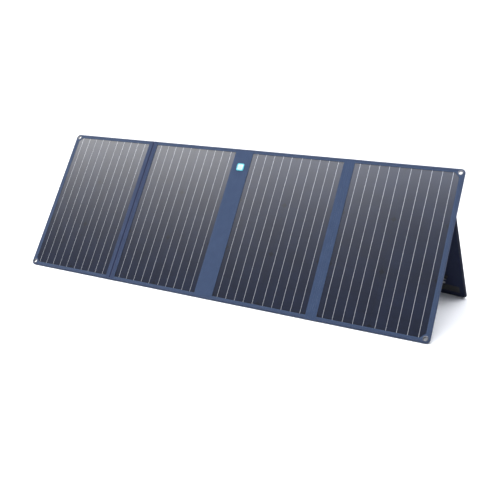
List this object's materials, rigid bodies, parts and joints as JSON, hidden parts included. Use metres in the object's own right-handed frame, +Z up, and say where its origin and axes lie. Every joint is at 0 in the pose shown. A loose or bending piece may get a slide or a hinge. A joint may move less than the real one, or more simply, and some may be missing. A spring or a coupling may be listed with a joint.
{
  "type": "folding solar panel",
  "caption": "Folding fabric solar panel in hinged sections, standing tilted back on rear kickstands, with corner eyelets, a carrying handle and a zipped pouch for its charge controller.",
  "frame": {"origin": "centre of the footprint, on the ground, with the panel standing open on its kickstands", "axes": "+X along the panel's length, to the right seen from the front; +Y from the face to the kickstands; +Z up"},
  "size_m": [1.5024, 0.4346, 0.4307],
  "materials": {
    "canvas": "slate blue woven polyester canvas, matt",
    "clear_sheet": "clear textured fluoropolymer film, satin gloss",
    "silicon": "dark monocrystalline cells with bright tinned ribbons",
    "board": "glass-fibre board",
    "lining": "near-black navy fabric, matt",
    "webbing": "black nylon webbing and hook-and-loop",
    "steel": "nickel-plated, polished",
    "black_plastic": "moulded, fine grain",
    "cyan_plastic": "moulded, translucent rim",
    "white_plastic": "moulded"
  },
  "bodies": {
    "inner_left": {"inner_left_front_frame": "canvas", "inner_left_front_sheet": "clear_sheet", "inner_left_cell_string": "silicon", "inner_left_stiffener": "board", "inner_left_back_cover": "canvas", "left_fold_front": "canvas", "left_fold_back": "canvas", "left_fold_lead": "black_plastic"},
    "outer_left": {"outer_left_front_frame": "canvas", "outer_left_front_sheet": "clear_sheet", "outer_left_cell_string": "silicon", "outer_left_stiffener": "board", "outer_left_back_cover": "canvas", "outer_left_lower_eyelet": "steel", "outer_left_upper_eyelet": "steel"},
    "spine": {"spine_front": "canvas", "spine_back": "canvas", "spine_lead": "black_plastic", "spine_stiffener": "board", "carry_handle": "webbing", "sun_dial_base": "cyan_plastic", "sun_dial_face": "white_plastic"},
    "inner_right": {"inner_right_front_frame": "canvas", "inner_right_front_sheet": "clear_sheet", "inner_right_cell_string": "silicon", "inner_right_stiffener": "board", "inner_right_back_cover": "canvas", "right_fold_front": "canvas", "right_fold_back": "canvas", "right_fold_lead": "black_plastic", "cable_pouch": "canvas", "pouch_zip": "webbing", "controller_case": "black_plastic", "controller_lid": "black_plastic", "usb_a_port": "steel", "usb_c_port": "steel", "dc_port": "steel"},
    "outer_right": {"outer_right_front_frame": "canvas", "outer_right_front_sheet": "clear_sheet", "outer_right_cell_string": "silicon", "outer_right_stiffener": "board", "outer_right_back_cover": "canvas", "outer_right_lower_eyelet": "steel", "outer_right_upper_eyelet": "steel"},
    "left_leg": {"left_leg_sleeve": "lining", "left_leg_board": "board", "left_leg_grip_patch": "webbing", "left_leg_snap": "steel", "left_leg_strap": "webbing"},
    "middle_leg": {"middle_leg_sleeve": "lining", "middle_leg_board": "board", "middle_leg_grip_patch": "webbing", "middle_leg_snap": "steel", "middle_leg_strap": "webbing"},
    "right_leg": {"right_leg_sleeve": "lining", "right_leg_board": "board", "right_leg_grip_patch": "webbing", "right_leg_snap": "steel", "right_leg_strap": "webbing"},
    "zip_slider": {"zip_pull": "steel"}
  },
  "joints": [
    {"name": "left_fold", "type": "hinge", "parent": "inner_left", "child": "outer_left", "pos_m": [-0.3701, -0.06587, 0.21719], "axis": [0, 0.5793, 0.8151], "range_deg": [0, 179.5]},
    {"name": "spine_left_fold", "type": "hinge", "parent": "inner_left", "child": "spine", "pos_m": [-0.0154, -0.06587, 0.21719], "axis": [0, -0.5793, -0.8151], "range_deg": [0, 90]},
    {"name": "spine_right_fold", "type": "hinge", "parent": "spine", "child": "inner_right", "pos_m": [0.0154, -0.06587, 0.21719], "axis": [0, -0.5793, -0.8151], "range_deg": [0, 90]},
    {"name": "right_fold", "type": "hinge", "parent": "inner_right", "child": "outer_right", "pos_m": [0.3701, -0.06587, 0.21719], "axis": [0, -0.5793, -0.8151], "range_deg": [0, 179.5]},
    {"name": "left_leg_fold", "type": "hinge", "parent": "outer_left", "child": "left_leg", "pos_m": [-0.714, 0.0201, 0.32478], "axis": [-0.9781, -0.1204, -0.1695], "range_deg": [0, 61.5], "deforming": ["left_leg_strap"]},
    {"name": "middle_leg_fold", "type": "hinge", "parent": "inner_left", "child": "middle_leg", "pos_m": [-0.0726, 0.0201, 0.32478], "axis": [-1, 0, 0], "range_deg": [0, 61.5], "deforming": ["middle_leg_strap"]},
    {"name": "right_leg_fold", "type": "hinge", "parent": "outer_right", "child": "right_leg", "pos_m": [0.714, 0.0201, 0.32478], "axis": [-0.9781, 0.1204, 0.1695], "range_deg": [0, 61.5], "deforming": ["right_leg_strap"]},
    {"name": "zip_slide", "type": "slide", "parent": "inner_right", "child": "zip_slider", "axis": [1, 0, 0], "range_m": [0, 0.14]}
  ]
}
